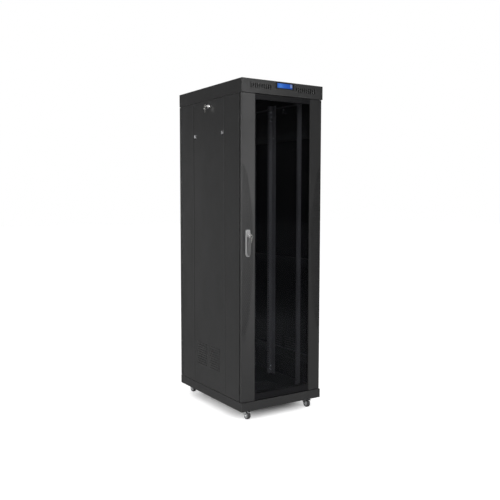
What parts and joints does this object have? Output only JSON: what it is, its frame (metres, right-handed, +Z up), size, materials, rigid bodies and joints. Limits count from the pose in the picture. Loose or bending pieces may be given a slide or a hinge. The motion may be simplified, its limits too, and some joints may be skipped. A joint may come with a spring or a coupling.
{
  "type": "network server cabinet",
  "caption": "Tall black steel equipment cabinet with a glass front door between perforated strips, swing handle, louvred side panels, a crown with slots and a small display, and swivel casters.",
  "frame": {"origin": "on the floor, at the middle of the cabinet's 600 x 800 mm footprint", "axes": "+Z up, the front door faces -Y, +X to the right seen from the front"},
  "size_m": [0.6355, 0.854, 2.055],
  "materials": {
    "black_powder_coat": "fine-textured black powder coat",
    "door_glass": "clear tempered glass, lightly smoked",
    "display_bezel_black": "gloss black moulding",
    "display_blue": "backlit blue panel",
    "zinc_plate": "bright zinc plate",
    "handle_grey": "satin grey die casting",
    "lock_chrome": "polished plating",
    "key_nickel": "nickel-plated",
    "fan_plastic": "matt black moulding",
    "wheel_nylon": "hard black tread on a grey hub"
  },
  "bodies": {
    "cabinet": {"base_frame": "black_powder_coat", "top_frame": "black_powder_coat", "crown_fascia": "black_powder_coat", "display_bezel": "display_bezel_black", "display_panel": "display_blue", "corner_post_front_left": "black_powder_coat", "corner_post_front_right": "black_powder_coat", "corner_post_rear_left": "black_powder_coat", "corner_post_rear_right": "black_powder_coat", "bottom_panel": "black_powder_coat", "roof_panel": "black_powder_coat", "mounting_rail_front_left": "black_powder_coat", "mounting_rail_front_right": "black_powder_coat", "mounting_rail_rear_left": "black_powder_coat", "mounting_rail_rear_right": "black_powder_coat", "depth_braces_left": "black_powder_coat", "depth_braces_right": "black_powder_coat", "frame_bolts": "zinc_plate", "fan_housings": "fan_plastic", "fan_guards": "zinc_plate", "caster_plates": "zinc_plate"},
    "fan_left": {"fan_rotor_left": "fan_plastic"},
    "fan_right": {"fan_rotor_right": "fan_plastic"},
    "front_door": {"front_door_stile_left": "black_powder_coat", "front_door_stile_right": "black_powder_coat", "front_door_top_rail": "black_powder_coat", "front_door_bottom_rail": "black_powder_coat", "front_door_glass": "door_glass", "glass_clamp_strips": "black_powder_coat", "front_door_hinge_pins": "zinc_plate", "handle_housing": "handle_grey"},
    "handle_spindle": {"handle_spindle": "handle_grey"},
    "handle_lever": {"handle_lever": "handle_grey"},
    "handle_lock": {"handle_lock_plug": "lock_chrome", "handle_keys": "key_nickel"},
    "rear_door": {"rear_door_panel": "black_powder_coat", "rear_door_hinge_pins": "zinc_plate", "rear_door_stiffeners": "black_powder_coat"},
    "rear_lock": {"rear_door_lock": "lock_chrome"},
    "side_left": {"side_panel_left": "black_powder_coat"},
    "side_right": {"side_panel_right": "black_powder_coat"},
    "side_left_lock": {"side_lock_left": "lock_chrome", "side_lock_keys": "key_nickel"},
    "side_right_lock": {"side_lock_right": "lock_chrome"},
    "latch_left_front": {"side_latch_left_front": "lock_chrome"},
    "latch_left_rear": {"side_latch_left_rear": "lock_chrome"},
    "latch_right_front": {"side_latch_right_front": "lock_chrome"},
    "latch_right_rear": {"side_latch_right_rear": "lock_chrome"},
    "fork_front_left": {"caster_fork_front_left": "zinc_plate"},
    "wheel_front_left": {"caster_wheel_front_left": "wheel_nylon"},
    "brake_front_left": {"caster_brake_front_left": "zinc_plate"},
    "fork_front_right": {"caster_fork_front_right": "zinc_plate"},
    "wheel_front_right": {"caster_wheel_front_right": "wheel_nylon"},
    "brake_front_right": {"caster_brake_front_right": "zinc_plate"},
    "fork_rear_left": {"caster_fork_rear_left": "zinc_plate"},
    "wheel_rear_left": {"caster_wheel_rear_left": "wheel_nylon"},
    "brake_rear_left": {"caster_brake_rear_left": "zinc_plate"},
    "fork_rear_right": {"caster_fork_rear_right": "zinc_plate"},
    "wheel_rear_right": {"caster_wheel_rear_right": "wheel_nylon"},
    "brake_rear_right": {"caster_brake_rear_right": "zinc_plate"}
  },
  "joints": [
    {"name": "front_door_hinge", "type": "hinge", "parent": "cabinet", "child": "front_door", "pos_m": [0.29, -0.385, 1.0465], "axis": [0, 0, 1], "range_deg": [0, 120]},
    {"name": "handle_turn", "type": "hinge", "parent": "front_door", "child": "handle_spindle", "pos_m": [-0.258, -0.41, 1.137], "axis": [0, -1, 0], "range_deg": [0, 90]},
    {"name": "handle_tip_out", "type": "hinge", "parent": "handle_spindle", "child": "handle_lever", "pos_m": [-0.258, -0.414, 1.123], "axis": [-1, 0, 0], "range_deg": [0, 30]},
    {"name": "handle_key_turn", "type": "hinge", "parent": "handle_spindle", "child": "handle_lock", "pos_m": [-0.258, -0.415, 1.137], "axis": [0, -1, 0], "range_deg": [0, 90]},
    {"name": "rear_door_hinge", "type": "hinge", "parent": "cabinet", "child": "rear_door", "pos_m": [0.29, 0.385, 1.0465], "axis": [0, 0, -1], "range_deg": [0, 120]},
    {"name": "rear_lock_turn", "type": "hinge", "parent": "rear_door", "child": "rear_lock", "pos_m": [-0.262, 0.39, 1.05], "axis": [0, 1, 0], "range_deg": [-90, 90]},
    {"name": "side_left_lift_off", "type": "slide", "parent": "cabinet", "child": "side_left", "axis": [-1, 0, 0], "range_m": [0, 0.12]},
    {"name": "side_left_lock_turn", "type": "hinge", "parent": "side_left", "child": "side_left_lock", "pos_m": [-0.3, 0, 1.935], "axis": [-1, 0, 0], "range_deg": [0, 90]},
    {"name": "latch_left_front_slide", "type": "slide", "parent": "side_left", "child": "latch_left_front", "axis": [0, 0, -1], "range_m": [0, 0.008], "stiffness_N_per_m": 150, "springref_m": -0.004},
    {"name": "latch_left_rear_slide", "type": "slide", "parent": "side_left", "child": "latch_left_rear", "axis": [0, 0, -1], "range_m": [0, 0.008], "stiffness_N_per_m": 150, "springref_m": -0.004},
    {"name": "fan_left_spin", "type": "hinge", "parent": "cabinet", "child": "fan_left", "pos_m": [-0.075, 0, 2.03], "axis": [0, 0, 1], "continuous": true},
    {"name": "side_right_lift_off", "type": "slide", "parent": "cabinet", "child": "side_right", "axis": [1, 0, 0], "range_m": [0, 0.12]},
    {"name": "side_right_lock_turn", "type": "hinge", "parent": "side_right", "child": "side_right_lock", "pos_m": [0.3, 0, 1.935], "axis": [1, 0, 0], "range_deg": [0, 90]},
    {"name": "latch_right_front_slide", "type": "slide", "parent": "side_right", "child": "latch_right_front", "axis": [0, 0, -1], "range_m": [0, 0.008], "stiffness_N_per_m": 150, "springref_m": -0.004},
    {"name": "latch_right_rear_slide", "type": "slide", "parent": "side_right", "child": "latch_right_rear", "axis": [0, 0, -1], "range_m": [0, 0.008], "stiffness_N_per_m": 150, "springref_m": -0.004},
    {"name": "fan_right_spin", "type": "hinge", "parent": "cabinet", "child": "fan_right", "pos_m": [0.075, 0, 2.03], "axis": [0, 0, 1], "continuous": true},
    {"name": "swivel_front_left", "type": "hinge", "parent": "cabinet", "child": "fork_front_left", "pos_m": [-0.23, -0.33, 0.058], "axis": [0, 0, 1], "continuous": true},
    {"name": "roll_front_left", "type": "hinge", "parent": "fork_front_left", "child": "wheel_front_left", "pos_m": [-0.23, -0.352, 0.025], "axis": [1, 0, 0], "continuous": true},
    {"name": "brake_press_front_left", "type": "hinge", "parent": "fork_front_left", "child": "brake_front_left", "pos_m": [-0.23, -0.3525, 0.053], "axis": [1, 0, 0], "range_deg": [0, 12], "stiffness_Nm_per_rad": 0.06, "springref_deg": -11.46},
    {"name": "swivel_front_right", "type": "hinge", "parent": "cabinet", "child": "fork_front_right", "pos_m": [0.23, -0.33, 0.058], "axis": [0, 0, 1], "continuous": true},
    {"name": "roll_front_right", "type": "hinge", "parent": "fork_front_right", "child": "wheel_front_right", "pos_m": [0.23, -0.352, 0.025], "axis": [1, 0, 0], "continuous": true},
    {"name": "brake_press_front_right", "type": "hinge", "parent": "fork_front_right", "child": "brake_front_right", "pos_m": [0.23, -0.3525, 0.053], "axis": [1, 0, 0], "range_deg": [0, 12], "stiffness_Nm_per_rad": 0.06, "springref_deg": -11.46},
    {"name": "swivel_rear_left", "type": "hinge", "parent": "cabinet", "child": "fork_rear_left", "pos_m": [-0.23, 0.33, 0.058], "axis": [0, 0, 1], "continuous": true},
    {"name": "roll_rear_left", "type": "hinge", "parent": "fork_rear_left", "child": "wheel_rear_left", "pos_m": [-0.23, 0.352, 0.025], "axis": [1, 0, 0], "continuous": true},
    {"name": "brake_press_rear_left", "type": "hinge", "parent": "fork_rear_left", "child": "brake_rear_left", "pos_m": [-0.23, 0.3525, 0.053], "axis": [-1, 0, 0], "range_deg": [0, 12], "stiffness_Nm_per_rad": 0.06, "springref_deg": -11.46},
    {"name": "swivel_rear_right", "type": "hinge", "parent": "cabinet", "child": "fork_rear_right", "pos_m": [0.23, 0.33, 0.058], "axis": [0, 0, 1], "continuous": true},
    {"name": "roll_rear_right", "type": "hinge", "parent": "fork_rear_right", "child": "wheel_rear_right", "pos_m": [0.23, 0.352, 0.025], "axis": [1, 0, 0], "continuous": true},
    {"name": "brake_press_rear_right", "type": "hinge", "parent": "fork_rear_right", "child": "brake_rear_right", "pos_m": [0.23, 0.3525, 0.053], "axis": [-1, 0, 0], "range_deg": [0, 12], "stiffness_Nm_per_rad": 0.06, "springref_deg": -11.46}
  ]
}
